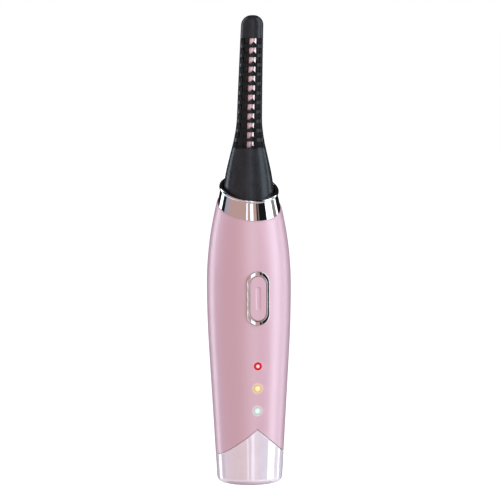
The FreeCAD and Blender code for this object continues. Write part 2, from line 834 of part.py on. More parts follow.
def temperature_sensor():
    """The glass bead of the temperature sensor, just below the heater."""
    bead = doc.addObject("Part::Sphere", "temperature_sensor")
    bead.Label = "temperature_sensor"
    bead.setExpression("Radius", bound("sensor_radius"))
    bead.setExpression("Placement.Base.y", bound(f"-{lean('sensor_height')} - 0.3"))
    bead.setExpression("Placement.Base.z", bound("sensor_height"))
    return bead


def head_seat():
    """The plug in the collar that the comb sleeve stands on, with a hole for the leads."""
    body = new_body("head_seat")
    outer = "collar_bore - fit_gap"
    step = "head_seat_top - 1"
    corners = [
        ("head_seat_hole", "head_seat_foot"),
        (outer, "head_seat_foot"),
        (outer, "head_seat_top"),
        (f"{outer} - 1.5", "head_seat_top"),
        (f"{outer} - 1.5", step),
        ("head_seat_hole", step),
    ]
    revolve(body, "plug", corners)
    return body


# ---------------------------------------------------------------- button and switch

def button_bezel():
    """The plated ring around the button, with a rounded crown that follows the barrel."""
    body = new_body("button_bezel")
    sketch = new_sketch(body, "ring_outline", "XZ_Plane", "bezel_back")
    pill(sketch, "button_height", "bezel_width", "bezel_length")
    pill(sketch, "button_height", "button_width + 2 * button_gap", "button_length + 2 * button_gap")
    extrude(body, "ring", sketch, "trim_front - bezel_back")
    crown(body, "crown", "bezel_proud")
    fillet(body, "crown_edges", "bezel_round", on_crown("bezel_proud"))
    return body


def crown_radius(height, outset):
    """The radius of the button's and bezel's faces: the barrel's lower arc carried on, moved out a little."""
    sag = f"lower_arc_radius - sqrt(lower_arc_radius ^ 2 - (({height}) - belly_height) ^ 2)"
    return f"(belly_radius + ({outset}) - ({sag}))"


def crown(body, name, outset):
    """Trim the front of a button part to the barrel's roundness."""
    low = f"button_height - {FAR / 2}"
    high = f"button_height + {FAR / 2}"
    corners = [
        (crown_radius(low, outset), low, "lower_arc_radius", -1),
        (crown_radius(high, outset), high),
        (FAR, high),
        (FAR, low),
    ]
    return revolve(body, name, corners, cut=True)


def on_crown(outset):
    """The edges that lie on a crown."""
    def test(edge, middle):
        radius = math.hypot(middle.x, middle.y)
        return abs(radius - value(crown_radius(str(middle.z), outset))) < 0.01
    return test


def button_cap():
    """The button: a captive pill with a groove in its face and a stem towards the switch behind."""
    body = new_body("button_cap")
    sketch = new_sketch(body, "face_outline", "XZ_Plane", "flange_back")
    pill(sketch, "button_height", "button_width", "button_length")
    extrude(body, "face", sketch, "trim_front - flange_back")
    crown(body, "face_crown", "button_proud")
    fillet(body, "face_edge", "face_round", on_crown("button_proud"))
    finger_groove(body)
    flange = new_sketch(body, "flange_outline", "XZ_Plane", "flange_back")
    pill(flange, "button_height", "flange_width", "flange_length")
    extrude(body, "flange", flange, "flange_front - flange_back")
    stem = new_sketch(body, "stem_outline", "XZ_Plane", "plunger_front + 0.05")
    circle(stem, "0", "button_height", "stem_radius")
    extrude(body, "stem", stem, "flange_back - plunger_front - 0.05 + 0.1")
    return body


def finger_groove(body):
    """A shallow groove down the middle of the face, cut by an upright rod with round ends."""
    axis = f"{crown_radius('button_height', 'button_proud')} + groove_radius - groove_depth"
    half_width = "sqrt(groove_radius ^ 2 - (groove_radius - groove_depth) ^ 2)"
    straight = f"(groove_length / 2 - {half_width})"
    low = f"button_height - {straight}"
    high = f"button_height + {straight}"
    corners = [
        ("0", f"{low} - groove_radius", "groove_radius", -1),
        ("groove_radius", low),
        ("groove_radius", high, "groove_radius", -1),
        ("0", f"{high} + groove_radius"),
    ]
    return revolve(body, "finger_groove", corners, cut=True, forward=axis)


def switch_housing():
    """The tactile switch on the board, with a bore that the plunger slides in."""
    body = new_body("switch_housing")
    sketch = new_sketch(body, "case_outline", "XZ_Plane", "board_front")
    half = "switch_width / 2"
    low = f"button_height - {half}"
    high = f"button_height + {half}"
    outline(sketch, [(f"-{half}", low), (half, low), (half, high), (f"-{half}", high)])
    extrude(body, "case", sketch, "switch_front - board_front")
    bore = new_sketch(body, "bore_outline", "XZ_Plane", "plunger_back - button_travel - plunger_gap")
    circle(bore, "0", "button_height", "plunger_radius + plunger_gap")
    extrude(body, "bore", bore, "trim_front - plunger_back", cut=True, backwards=True)
    return body


def switch_plunger():
    """The pin that the button pushes."""
    body = new_body("switch_plunger")
    sketch = new_sketch(body, "pin_outline", "XZ_Plane", "plunger_back")
    circle(sketch, "0", "button_height", "plunger_radius")
    extrude(body, "pin", sketch, "plunger_front - plunger_back")
    fillet(body, "pin_edge", "plunger_round", on_plunger_front)
    return body


def on_plunger_front(edge, middle):
    return abs(middle.y + value("plunger_front")) < 0.001


# ---------------------------------------------------------------- lights

def light_height(number):
    return f"(light_top - {number} * light_pitch)"


def light_window(number, colour):
    """A clear light guide, flush with the barrel, with a collar that stops it falling out."""
    body = new_body("light_window_" + colour)
    height = light_height(number)
    sketch = new_sketch(body, "rod_outline", "XZ_Plane", "light_back")
    circle(sketch, "0", height, "light_radius")
    extrude(body, "rod", sketch, "trim_front - light_back")
    trim_to_barrel(body, "face", f"{height} - 2", f"{height} + 2", "light_proud")
    stop = new_sketch(body, "stop_outline", "XZ_Plane", "light_back")
    circle(stop, "0", height, "light_collar_radius")
    extrude(body, "stop", stop, f"{barrel_radius(height)} - shell_wall - 0.3 - light_back")
    return body


def light_chip(number, colour):
    """The light-emitting diode on the board behind its window."""
    front = "-board_front - light_chip_height"
    foot = f"{light_height(number)} - light_chip_height / 2"
    size = ("light_chip_width", "light_chip_height", "light_chip_height")
    return box("light_chip_" + colour, *size, "0", front, foot)


# ---------------------------------------------------------------- electronics

def main_board():
    """The long circuit board, with holes for the screws that hold it to the chassis."""
    body = new_body("main_board")
    half = "board_width / 2"
    sketch = new_sketch(body, "board_outline", "XZ_Plane", BOARD_BACK)
    low = [(f"-{half}", "board_foot"), (half, "board_foot")]
    high = [(half, "board_top"), (f"-{half}", "board_top")]
    outline(sketch, low + high)
    for side, height in SCREW_PLACES:
        circle(sketch, f"{side} * screw_side", height, "screw_radius + screw_gap")
    extrude(body, "board", sketch, "board_depth")
    return body


def screw(number, side, height):
    """One small pan-head screw through the board into the chassis, with a cross recess."""
    body = new_body(f"board_screw{number}")
    x = f"{side} * screw_side"
    head = new_sketch(body, "head_outline", "XZ_Plane", "board_front + 0.02")
    circle(head, x, height, "screw_head_radius")
    extrude(body, "head", head, "screw_head_depth")
    shank = new_sketch(body, "shank_outline", "XZ_Plane", "board_front + 0.1")
    circle(shank, x, height, "screw_radius")
    extrude(body, "shank", shank, "screw_length", backwards=True)
    recess = new_sketch(body, "recess_outline", "XZ_Plane", "board_front + screw_head_depth + 0.02")
    arm = "screw_head_radius * 0.6"
    thin = "screw_head_radius * 0.14"
    cross = []
    for x_turn, z_turn in ((1, 1), (-1, 1), (-1, -1), (1, -1)):
        tall = (f"{x} + {x_turn} * {thin}", f"{height} + {z_turn} * {arm}")
        inner = (f"{x} + {x_turn} * {thin}", f"{height} + {z_turn} * {thin}")
        wide = (f"{x} + {x_turn} * {arm}", f"{height} + {z_turn} * {thin}")
        cross += [wide, inner, tall] if x_turn == z_turn else [tall, inner, wide]
    outline(recess, cross)
    extrude(body, "recess", recess, "screw_head_depth * 0.6", cut=True)
    return body


def board_screws():
    """The four screws as one group of separate solids."""
    screws = [screw(number, side, height) for number, (side, height) in enumerate(SCREW_PLACES)]
    group = doc.addObject("Part::Compound", "board_screws")
    group.Label = "board_screws"
    group.Links = screws
    return group


def chips():
    """The larger parts soldered to the board's front."""
    made = []
    for name, (width, depth, height, side, foot) in CHIPS.items():
        made.append(box(name, width, depth, height, side, f"-board_front - {depth}", foot))
    return made


def capacitors():
    """The small ceramic capacitors and resistors, as one group of separate blocks."""
    width, depth, height = CAPACITOR_SIZE
    blocks = []
    for number, (side, foot) in enumerate(LEFT_CAPACITORS + RIGHT_CAPACITORS):
        front = f"-board_front - {depth}"
        blocks.append(box(f"capacitor{number}", width, depth, height, side, front, foot))
    group = doc.addObject("Part::Compound", "capacitors")
    group.Label = "capacitors"
    group.Links = blocks
    return group


def chassis():
    """The inner frame: a cradle for the battery with a flat front that the board is screwed to."""
    body = new_body("chassis")
    side = "chassis_half_width"
    back = "cell_set_back"
    chamfer = "chassis_chamfer"
    front = "-chassis_front"
    cradle = "cell_radius + cell_gap"
    sketch = new_sketch(body, "cradle_outline", "XY_Plane", "chassis_foot")
    corners = [
        (f"-({side})", back),
        (f"-({side})", f"{front} + {chamfer}"),
        (f"-({side}) + {chamfer}", front),
        (f"{side} - {chamfer}", front),
        (side, f"{front} + {chamfer}"),
        (side, back),
        (cradle, back),
    ]
    chassis_outline(sketch, corners, cradle, back)
    extrude(body, "cradle", sketch, "chassis_top - chassis_foot")
    floor = new_sketch(body, "floor_outline", "XY_Plane", "chassis_foot")
    circle(floor, "0", back, f"{cradle} + 0.3")
    extrude(body, "floor", floor, "chassis_floor")
    for number, (side_sign, height) in enumerate(SCREW_PLACES):
        hole = new_sketch(body, f"pilot_outline{number}", "XZ_Plane", "chassis_front")
        circle(hole, f"{side_sign} * screw_side", height, "screw_radius + pilot_gap")
        extrude(body, f"pilot{number}", hole, "pilot_depth", cut=True)
    return body


def chassis_outline(sketch, corners, cradle, back):
    """The straight corners, closed by the half circle that the battery lies in."""
    points = [Vector(value(x), value(y), 0) for x, y in corners]
    ends = points + [Vector(-points[-1].x, points[-1].y, 0)]
    for start, end in zip(ends, ends[1:-1]):
        sketch.addGeometry(Part.LineSegment(start, end), False)
    centre = Vector(0, value(back), 0)
    arc = Part.ArcOfCircle(Part.Circle(centre, Vector(0, 0, 1), value(cradle)), math.pi, 2 * math.pi)
    half_circle = sketch.addGeometry(arc, False)
    closing = sketch.addGeometry(Part.LineSegment(ends[-1], ends[0]), False)
    straight = len(corners) - 1
    for index, (x, y) in enumerate(corners[:-1]):
        hold(sketch, "DistanceX", index, 1, x)
        hold(sketch, "DistanceY", index, 1, y)
        if index + 1 < straight:
            sketch.addConstraint(Sketcher.Constraint("Coincident", index, 2, index + 1, 1))
    sketch.addConstraint(Sketcher.Constraint("Coincident", straight - 1, 2, half_circle, 2))
    sketch.addConstraint(Sketcher.Constraint("Coincident", half_circle, 1, closing, 1))
    sketch.addConstraint(Sketcher.Constraint("Coincident", closing, 2, 0, 1))
    hold(sketch, "DistanceX", half_circle, 3, "0")
    hold(sketch, "DistanceY", half_circle, 3, back)
    hold(sketch, "DistanceX", half_circle, 2, cradle)
    hold(sketch, "DistanceY", half_circle, 2, back)
    hold(sketch, "DistanceY", half_circle, 1, back)


def battery_cell():
    """The rechargeable cell: a can with a rolled shoulder and a raised contact."""
    body = new_body("battery_cell")
    sketch = new_sketch(body, "can_outline", "XY_Plane", "cell_foot")
    circle(sketch, "0", "cell_set_back", "cell_radius")
    extrude(body, "can", sketch, "cell_length - 1.5 * cell_round")
    fillet(body, "can_edges", "cell_round", lambda edge, middle: True)
    contact = new_sketch(body, "contact_outline", "XY_Plane", "cell_foot + 1")
    circle(contact, "0", "cell_set_back", "contact_radius")
    extrude(body, "contact", contact, "cell_length - 1")
    return body


def battery_tabs():
    """The two nickel tabs welded to the cell's ends."""
    front = "cell_set_back - tab_width"
    top_foot = "cell_foot + cell_length"
    low_foot = "cell_foot - tab_depth - fit_gap / 4"
    top = box("battery_tab_top", "tab_width", "tab_reach", "tab_depth", "0", front, top_foot)
    low = box("battery_tab_low", "tab_width", "tab_reach", "tab_depth", "0", front, low_foot)
    return [top, low]


# ---------------------------------------------------------------- charging port

def port_shell():
    """The steel shell of the charging socket, open at the underside and closed at its inner end."""
    body = new_body("port_shell")
    outer = new_sketch(body, "shell_outline", "XY_Plane", "port_recess")
    pill(outer, "0", "port_depth", "port_width", upright=False)
    extrude(body, "shell", outer, "port_length")
    hollow = new_sketch(body, "hollow_outline", "XY_Plane", "port_recess + port_length - port_sheet * 2")
    pill(hollow, "0", "port_depth - 2 * port_sheet", "port_width - 2 * port_sheet", upright=False)
    extrude(body, "hollow", hollow, "port_length", cut=True)
    return body


def port_tongue():
    """The insulating tongue that carries the contacts, standing in the middle of the shell."""
    back = "port_recess + port_length - port_sheet * 2"
    return box("port_tongue", "tongue_width", "tongue_depth", "tongue_length", "0",
               "-tongue_depth / 2", f"{back} - tongue_length")


def port_board():
    """The small board behind the charging socket."""
    tall = "port_board_top - port_board_foot"
    front = "port_depth / 2 + fit_gap / 4"
    return box("port_board", "port_board_width", "port_board_depth", tall, "0", front, "port_board_foot")


# ---------------------------------------------------------------- leads

def leads():
    """Every lead inside the pen, along its real route."""
    pad = "-board_front - lead_radius - 0.03"
    behind = f"-{lean('plate_foot')} - 0.28"
    heater = []
    for side in (-1, 1):
        near = f"{side} * 0.52"
        heater.append([
            (near, behind, "plate_foot - 0.1"),
            (near, "-skirt_forward - 0.3", "lean_start + 1"),
            (f"{side} * 0.9", "-skirt_forward", "66"),
            (f"{side} * 1.1", "-1.2", "63.6"),
            (f"{side} * 1.5", f"{pad} - 0.25", "63.4"),
            (f"{side} * 1.5", pad, "60.2"),
        ])
    sensor = []
    for side in (-1, 1):
        near = f"{side} * 0.13"
        sensor.append([
            (near, f"-{lean('sensor_height')} - 0.3", "sensor_height - sensor_radius - 0.02"),
            (near, "-skirt_forward - 0.3", "lean_start + 1"),
            (f"{side} * 0.2", "-skirt_forward", "66"),
            (f"{side} * 0.25", "-1.2", "64"),
            (f"{side} * 0.3", "-board_front - 0.5", "63.6"),
            (f"{side} * 0.3", "-board_front - fine_lead_radius - 0.03", "60.6"),
        ])
    port = []
    for side in (-1, 1):
        port.append([
            (f"{side} * 3", "port_depth / 2 - lead_radius - 0.02", "12"),
            (f"{side} * 3", "1", "15.4"),
            (f"{side} * 2.6", f"{pad} - 0.35", "16.0"),
            (f"{side} * 2.4", pad, "19.4"),
        ])
    positive = [
        ("0", "cell_set_back - 1", "cell_foot + cell_length + tab_depth + lead_radius + 0.02"),
        ("-1.2", "-2.6", "cell_foot + cell_length + 0.9"),
        ("-2.4", f"{pad} - 0.1", "cell_foot + cell_length + 1.2"),
        ("-2.4", pad, "59.2"),
    ]
    negative = [
        ("0", "cell_set_back + 0.4", "chassis_foot - lead_radius - 0.05"),
        ("0.1", "-2.4", "chassis_foot - lead_radius - 0.2"),
        ("0", f"{pad} - 0.3", "15.95"),
        ("0", pad, "17.0"),
    ]
    return [
        lead_object("heater_leads", heater, "lead_radius - 0.05"),
        lead_object("sensor_leads", sensor, "fine_lead_radius"),
        lead_object("port_leads", port, "lead_radius"),
        lead_object("battery_lead_red", [positive], "lead_radius"),
        lead_object("battery_lead_black", [negative], "lead_radius"),
    ]


# ---------------------------------------------------------------- the whole pen

def build_parts():
    parts = [
        body_shell(), base_cap(), collar(),
        comb_skirt(), comb_sleeve(), head_seat(),
        heater_strip(), heater_carrier(), ceramic_heater(), temperature_sensor(),
        button_bezel(), button_cap(), switch_housing(), switch_plunger(),
    ]
    for number, colour in enumerate(("red", "yellow", "green")):
        parts += [light_window(number, colour), light_chip(number, colour)]
    parts += [main_board(), board_screws(), capacitors(), chassis(), battery_cell()]
    parts += chips() + battery_tabs()
    parts += [port_shell(), port_tongue(), port_board()]
    return parts + leads()


def check_document(parts):
    """Stop if any object failed, or if a sub-part has no sound shape."""
    for item in doc.Objects:
        if "Invalid" in item.State or "Error" in item.State:
            raise SystemExit(f"{item.Name} is {item.State}")
    for part in parts:
        if part.Shape.isNull() or not part.Shape.isValid():
            raise SystemExit(f"{part.Label} has no valid shape")


def write_parts(parts):
    os.makedirs("parts", exist_ok=True)
    for part in parts:
        part.Shape.exportStep(f"parts/{part.Label}.step")
        print(f"{part.Label}: {len(part.Shape.Solids)} solid(s), {part.Shape.Volume:.2f} mm3")


sub_parts = build_parts()
doc.recompute()
check_document(sub_parts)
write_parts(sub_parts)
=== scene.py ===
import math

import bpy
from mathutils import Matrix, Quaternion, Vector


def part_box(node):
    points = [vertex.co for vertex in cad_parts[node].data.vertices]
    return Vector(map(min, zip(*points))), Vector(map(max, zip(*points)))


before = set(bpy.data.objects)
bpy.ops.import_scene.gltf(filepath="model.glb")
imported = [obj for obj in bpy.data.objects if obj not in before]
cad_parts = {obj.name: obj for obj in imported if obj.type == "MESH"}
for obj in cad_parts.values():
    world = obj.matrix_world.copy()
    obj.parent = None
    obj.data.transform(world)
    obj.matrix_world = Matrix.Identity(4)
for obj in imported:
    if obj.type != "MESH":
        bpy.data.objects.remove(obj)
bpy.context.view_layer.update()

MM = 0.001
# The camera's angles are in degrees and its distance is in metres.
CAMERA_AZIMUTH = -12.6
CAMERA_ELEVATION = 4.0
CAMERA_DISTANCE = 0.556
CAMERA_FIELD = 13.0
CAMERA_ROLL = 0.26
AIM_HEIGHT = 58.98 * MM
AIM_RIGHT = 0.33 * MM
# The stretch of the comb sleeve with the slots, whose front gets painted shade for the shade inside the
# slots: how far it starts above the sleeve's foot and ends below its tip, where the painted shade on its
# front ends at its foot, and how far forward that edge leans for each unit of height.
SLOTS_ABOVE_FOOT = 1.2 * MM
SLOTS_BELOW_TIP = 5.8 * MM
SLOT_SHADE_BACK = -0.9 * MM
SLOT_SHADE_LEAN = 0.143
SLOT_SHADE_FADE = 0.3 * MM
SLOT_SHADE_FRONT_FADE = 1.0 * MM
# The middle stretch of a noise's values, which a blend of two colours or two roughnesses spans.
NOISE_LOW = 0.3
NOISE_HIGH = 0.7


def rgb(red, green, blue):
    """A colour given as 0 to 255 display values, in linear light."""
    linear = []
    for part in (red, green, blue):
        share = part / 255
        linear.append(share / 12.92 if share <= 0.04045 else ((share + 0.055) / 1.055) ** 2.4)
    return (*linear, 1.0)


# ---------------------------------------------------------------- camera, light and floor

def from_round(azimuth, elevation):
    """The direction towards an azimuth (0 is -Y, 90 is +X) and an elevation, both in degrees."""
    turn = math.radians(azimuth)
    lift = math.radians(elevation)
    return Vector((math.sin(turn) * math.cos(lift), -math.cos(turn) * math.cos(lift), math.sin(lift)))


def make_camera():
    data = bpy.data.cameras.new("camera")
    data.angle = math.radians(CAMERA_FIELD)
    camera = bpy.data.objects.new("camera", data)
    bpy.context.scene.collection.objects.link(camera)
    back = from_round(CAMERA_AZIMUTH, CAMERA_ELEVATION)
    right = from_round(CAMERA_AZIMUTH + 90, 0)
    aim = Vector((0, 0, AIM_HEIGHT)) + right * AIM_RIGHT
    camera.location = aim + back * CAMERA_DISTANCE
    camera.rotation_mode = "QUATERNION"
    upright = (-back).to_track_quat("-Z", "Y")
    camera.rotation_quaternion = upright @ Quaternion((0, 0, 1), math.radians(-CAMERA_ROLL))
    bpy.context.scene.camera = camera


# The colours of the studio's panels in linear light, before STRIP_STRENGTH multiplies them.
WHITE_STRIP = (0.80, 0.92, 1.0)
MILD_STRIP = (0.45, 0.50, 0.54)
GREY = (0.10, 0.09, 0.085)
LAVENDER = (0.15, 0.14, 0.17)
ROSY = (0.20, 0.13, 0.12)
DARK = (0.004, 0.004, 0.004)
STRIP_STRENGTH = 2.6
# The studio round the pen: each panel's colour, and the azimuth where it starts, counted in degrees from
# the camera's. A panel ends where the next one starts.
PANELS = [
    (-180, DARK), (-132, WHITE_STRIP), (-114, DARK), (-96, LAVENDER), (-76, ROSY), (-8, MILD_STRIP),
    (-3, ROSY), (6, MILD_STRIP), (17, ROSY), (29, DARK), (34, GREY), (37, DARK), (66, WHITE_STRIP),
    (95, GREY), (115, WHITE_STRIP), (124, DARK),
]
# Half the width, in degrees, of the blend between two panels.
PANEL_EDGE = 0.6
# The bands below and above the panels: their colours, and between which elevations in degrees each one
# and its neighbour blend.
UNDER_GLOW = (0.25, 0.14, 0.17, 1)
UNDER_EDGE = (-48, -38)
FLOOR_GLOW = (0.9, 0.9, 0.9, 1)
FLOOR_EDGE = (-24, -16)
CEILING_GLOW = (0.01, 0.01, 0.01, 1)
CEILING_EDGE = (48, 62)
LAVENDER_LIGHT = (0.84, 0.86, 1.0)
LAMP_DISTANCE = 1.2
FLOOR_HALF_WIDTH = 3.0


def math_node(tree, operation, first, second=None):
    node = tree.nodes.new("ShaderNodeMath")
    node.operation = operation
    for socket, given in zip(node.inputs, (first, second)):
        if given is None:
            continue
        if isinstance(given, (int, float)):
            socket.default_value = given
        else:
            tree.links.new(given, socket)
    return node.outputs[0]


def map_range(tree, given, low, high, to_low=0.0, to_high=1.0, smooth=True):
    node = tree.nodes.new("ShaderNodeMapRange")
    node.interpolation_type = "SMOOTHSTEP" if smooth else "LINEAR"
    tree.links.new(given, node.inputs["Value"])
    node.inputs["From Min"].default_value = low
    node.inputs["From Max"].default_value = high
    node.inputs["To Min"].default_value = to_low
    node.inputs["To Max"].default_value = to_high
    return node.outputs["Result"]


def mix_colour(tree, share, first, second):
    """A blend of two colours; each is a colour or an output, and share is an output or a number."""
    node = tree.nodes.new("ShaderNodeMix")
    node.data_type = "RGBA"
    sockets = {s.identifier: s for s in node.inputs}
    for name, given in (("Factor_Float", share), ("A_Color", first), ("B_Color", second)):
        if isinstance(given, bpy.types.NodeSocket):
            tree.links.new(given, sockets[name])
        else:
            sockets[name].default_value = given
    return next(s for s in node.outputs if s.identifier == "Result_Color")


def rise_over(tree, upward, edge):
    """0 below and 1 above a pair of elevations in degrees, for a direction's upward share."""
    low, high = (math.sin(math.radians(angle)) for angle in edge)
    return map_range(tree, upward, low, high)


def make_world():
    """White to the camera; to everything else, tall panels between a bright floor and a dark ceiling."""
    world = bpy.data.worlds.new("studio")
    bpy.context.scene.world = world
    world.use_nodes = True
    tree = world.node_tree
    tree.nodes.clear()
    direction = tree.nodes.new("ShaderNodeTexCoord").outputs["Generated"]
    split = tree.nodes.new("ShaderNodeSeparateXYZ")
    tree.links.new(direction, split.inputs[0])
    forward = math_node(tree, "MULTIPLY", split.outputs["Y"], -1)
    turn = math_node(tree, "ARCTAN2", split.outputs["X"], forward)
    turned = math_node(tree, "SUBTRACT", turn, math.radians(CAMERA_AZIMUTH))
    wrapped = math_node(tree, "WRAP", turned, math.pi)
    wrapped.node.inputs[2].default_value = -math.pi
    place = map_range(tree, wrapped, -math.pi, math.pi, smooth=False)
    ramp = tree.nodes.new("ShaderNodeValToRGB")
    tree.links.new(place, ramp.inputs[0])
    stops = ramp.color_ramp.elements
    before = PANELS[-1][1]
    stops[0].position = 0.0
    stops[0].color = (*before, 1)
    stops[1].position = 1.0
    stops[1].color = (*before, 1)
    for start, colour in PANELS[1:]:
        edge = stops.new((start - PANEL_EDGE + 180) / 360)
        edge.color = (*before, 1)
        edge = stops.new((start + PANEL_EDGE + 180) / 360)
        edge.color = (*colour, 1)
        before = colour
    panels = tree.nodes.new("ShaderNodeVectorMath")
    panels.operation = "SCALE"
    tree.links.new(ramp.outputs["Color"], panels.inputs[0])
    panels.inputs["Scale"].default_value = STRIP_STRENGTH
    upward = split.outputs["Z"]
    with_floor = mix_colour(tree, rise_over(tree, upward, FLOOR_EDGE), FLOOR_GLOW, panels.outputs[0])
    with_under = mix_colour(tree, rise_over(tree, upward, UNDER_EDGE), UNDER_GLOW, with_floor)
    whole = mix_colour(tree, rise_over(tree, upward, CEILING_EDGE), with_under, CEILING_GLOW)
    seen = tree.nodes.new("ShaderNodeLightPath").outputs["Is Camera Ray"]
    shown = mix_colour(tree, seen, whole, (1, 1, 1, 1))
    background = tree.nodes.new("ShaderNodeBackground")
    tree.links.new(shown, background.inputs["Color"])
    output = tree.nodes.new("ShaderNodeOutputWorld")
    tree.links.new(background.outputs[0], output.inputs[0])


def soft_light(name, azimuth, elevation, size, power, colour=(1, 1, 1)):
    """A big soft lamp that lights surfaces evenly and doesn't show in reflections."""
    data = bpy.data.lights.new(name, "AREA")
    data.shape = "SQUARE"
    data.size = size
    data.energy = power
    data.color = colour
    lamp = bpy.data.objects.new(name, data)
    bpy.context.scene.collection.objects.link(lamp)
    towards = from_round(CAMERA_AZIMUTH + azimuth, elevation)
    lamp.location = Vector((0, 0, AIM_HEIGHT)) + towards * LAMP_DISTANCE
    lamp.rotation_mode = "QUATERNION"
    lamp.rotation_quaternion = (-towards).to_track_quat("-Z", "Y")
    lamp.visible_camera = False
    lamp.visible_glossy = False


def make_floor():
    """A wide plain white floor, left out of reflections because the studio has a floor of its own."""
    half = FLOOR_HALF_WIDTH
    mesh = bpy.data.meshes.new("floor")
    corners = [(-half, -half, 0), (half, -half, 0), (half, half, 0), (-half, half, 0)]
    mesh.from_pydata(corners, [], [(0, 1, 2, 3)])
    floor = bpy.data.objects.new("floor", mesh)
    bpy.context.scene.collection.objects.link(floor)
    floor.visible_glossy = False
    floor.visible_diffuse = False
    material, _, shader = new_material("floor_white", (0.3, 0.3, 0.3, 1), 0.9)
    shader.inputs["Emission Color"].default_value = (1, 1, 1, 1)
    shader.inputs["Emission Strength"].default_value = 1.0
    mesh.materials.append(material)


# ---------------------------------------------------------------- materials

def new_material(name, colour, roughness, metallic=0.0):
    material = bpy.data.materials.new(name)
    material.use_nodes = True
    tree = material.node_tree
    shader = tree.nodes["Principled BSDF"]
    shader.inputs["Base Color"].default_value = colour
    shader.inputs["Roughness"].default_value = roughness
    shader.inputs["Metallic"].default_value = metallic
    return material, tree, shader


def place_in(tree):
    """The point's own place on the piece, in metres."""
    found = [node for node in tree.nodes if node.type == "TEX_COORD"]
    node = found[0] if found else tree.nodes.new("ShaderNodeTexCoord")
    return node.outputs["Object"]


def noise(tree, size, detail=2.0, stretch=(1, 1, 1)):
    """Cloudy noise from 0 to 1 whose patches are about a size in metres, drawn out by a stretch."""
    mapping = tree.nodes.new("ShaderNodeMapping")
    mapping.inputs["Scale"].default_value = [1 / (size * part) for part in stretch]
    tree.links.new(place_in(tree), mapping.inputs["Vector"])
    node = tree.nodes.new("ShaderNodeTexNoise")
    node.inputs["Scale"].default_value = 1.0
    node.inputs["Detail"].default_value = detail
    tree.links.new(mapping.outputs[0], node.inputs["Vector"])
    return node.outputs["Fac"]


def vary_roughness(tree, shader, pattern, low, high):
    level = map_range(tree, pattern, NOISE_LOW, NOISE_HIGH, low, high)
    tree.links.new(level, shader.inputs["Roughness"])


def vary_colour(tree, shader, pattern, first, second):
    share = map_range(tree, pattern, NOISE_LOW, NOISE_HIGH)
    tree.links.new(mix_colour(tree, share, first, second), shader.inputs["Base Color"])


def add_bump(tree, shader, pattern, height, strength=1.0):
    """Relief of a height in metres."""
    node = tree.nodes.new("ShaderNodeBump")
    node.inputs["Strength"].default_value = strength
    node.inputs["Distance"].default_value = height
    tree.links.new(pattern, node.inputs["Height"])
    tree.links.new(node.outputs["Normal"], shader.inputs["Normal"])


# Each light's colour in its middle and round that, and the radius of the middle.
LIGHTS = {
    "light_window_red": (rgb(255, 240, 240), rgb(205, 20, 40), 0.42 * MM),
    "light_window_yellow": (rgb(255, 240, 208), rgb(232, 206, 120), 0.55 * MM),
    "light_window_green": (rgb(238, 255, 249), rgb(196, 222, 212), 0.5 * MM),
}
# The windows' radius, and the distance from a window's middle at which its glow on the paint ends.
LIGHT_RADIUS = 1.0 * MM
HALO_RADIUS = 1.7 * MM
# How strongly a window glows, the share of that left at its rim, and the unlit colour's share of the lit.
WINDOW_GLOW = 0.88
RIM_GLOW = 0.62
UNLIT_SHARE = 0.25


def from_light(tree, node):
    """How far a point stands from the axis of a light's round face."""
    low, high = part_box(node)
    split = tree.nodes.new("ShaderNodeSeparateXYZ")
    tree.links.new(place_in(tree), split.inputs[0])
    upward = math_node(tree, "SUBTRACT", split.outputs["Z"], (low.z + high.z) / 2)
    across = math_node(tree, "POWER", split.outputs["X"], 2)
    squared = math_node(tree, "ADD", across, math_node(tree, "POWER", upward, 2))
    return math_node(tree, "SQRT", squared)


def on_front(tree):
    """1 on the button's side of the pen, 0 on its back."""
    split = tree.nodes.new("ShaderNodeSeparateXYZ")
    tree.links.new(place_in(tree), split.inputs[0])
    return math_node(tree, "LESS_THAN", split.outputs["Y"], 0)


def add_halos(tree, shader, share):
    """The soft glow that each light throws on the paint round it."""
    glow = (0, 0, 0, 1)
    in_front = on_front(tree)
    for node, (_, colour, _) in LIGHTS.items():
        near = map_range(tree, from_light(tree, node), LIGHT_RADIUS * 0.8, HALO_RADIUS, share, 0)
        lit = math_node(tree, "MULTIPLY", near, in_front)
        glow = mix_colour(tree, lit, glow, colour)
    tree.links.new(glow, shader.inputs["Emission Color"])
    shader.inputs["Emission Strength"].default_value = 1.0


def pearl_paint(name, share=0.0):
    """Satin rose paint, finely mottled, with a cool sheen; share is how strongly the lights glow on it."""
    material, tree, shader = new_material(name, rgb(217, 178, 189), 0.36, 0.1)
    vary_colour(tree, shader, noise(tree, 0.05 * MM, 3), rgb(214, 174, 186), rgb(220, 182, 192))
    vary_roughness(tree, shader, noise(tree, 3 * MM), 0.34, 0.38)
    shader.inputs["Specular IOR Level"].default_value = 1.0
    shader.inputs["Specular Tint"].default_value = (0.68, 0.92, 1.0, 1)
    shader.inputs["Coat Weight"].default_value = 0.6
    shader.inputs["Coat Roughness"].default_value = 0.3
    shader.inputs["Sheen Weight"].default_value = 0.12
    shader.inputs["Sheen Roughness"].default_value = 0.4
    shader.inputs["Sheen Tint"].default_value = (0.92, 0.88, 1.0, 1)
    add_bump(tree, shader, noise(tree, 0.12 * MM), 0.0006 * MM)
    if share:
        add_halos(tree, shader, share)
    return material


def pink_plating():
    """Pale pink plated plastic, glossy and slightly metallic."""
    material, tree, shader = new_material("pink_plating", rgb(240, 230, 238), 0.05, 0.22)
    vary_colour(tree, shader, noise(tree, 4 * MM), rgb(238, 227, 235), rgb(242, 233, 240))
    vary_roughness(tree, shader, noise(tree, 1.5 * MM), 0.04, 0.07)
    add_bump(tree, shader, noise(tree, 2.5 * MM), 0.0004 * MM)
    return material


